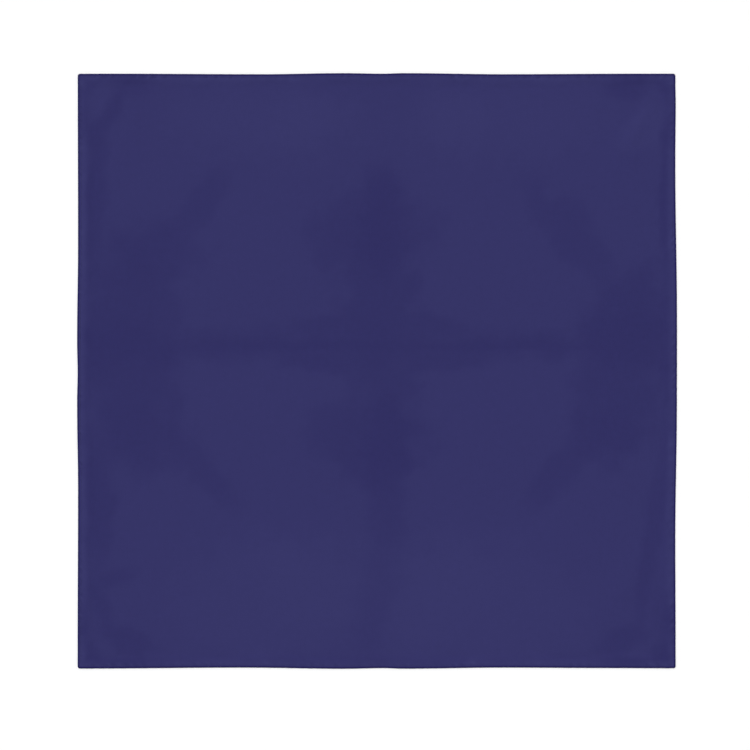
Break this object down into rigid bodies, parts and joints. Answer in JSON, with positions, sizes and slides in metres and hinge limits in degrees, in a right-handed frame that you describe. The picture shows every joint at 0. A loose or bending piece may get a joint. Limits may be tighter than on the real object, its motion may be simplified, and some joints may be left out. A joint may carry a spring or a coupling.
{
  "type": "bandana",
  "caption": "Plain square cotton bandana laid out flat, face up, with a narrow turned hem on each side.",
  "frame": {"origin": "on the surface that the cloth lies on, under the middle of the square", "axes": "+X right and +Y up as the face is seen from above, along the two hemmed directions, +X along the longer; +Z up, away from the surface"},
  "size_m": [0.56, 0.556, 0.0031],
  "materials": {
    "cotton": "matte navy plain-weave cotton, soft from washing",
    "thread": "navy sewing thread with a slight sheen"
  },
  "bodies": {
    "root": {"panel": "cotton", "hem_top": "cotton", "hem_bottom": "cotton", "hem_left": "cotton", "hem_right": "cotton"}
  },
  "joints": []
}
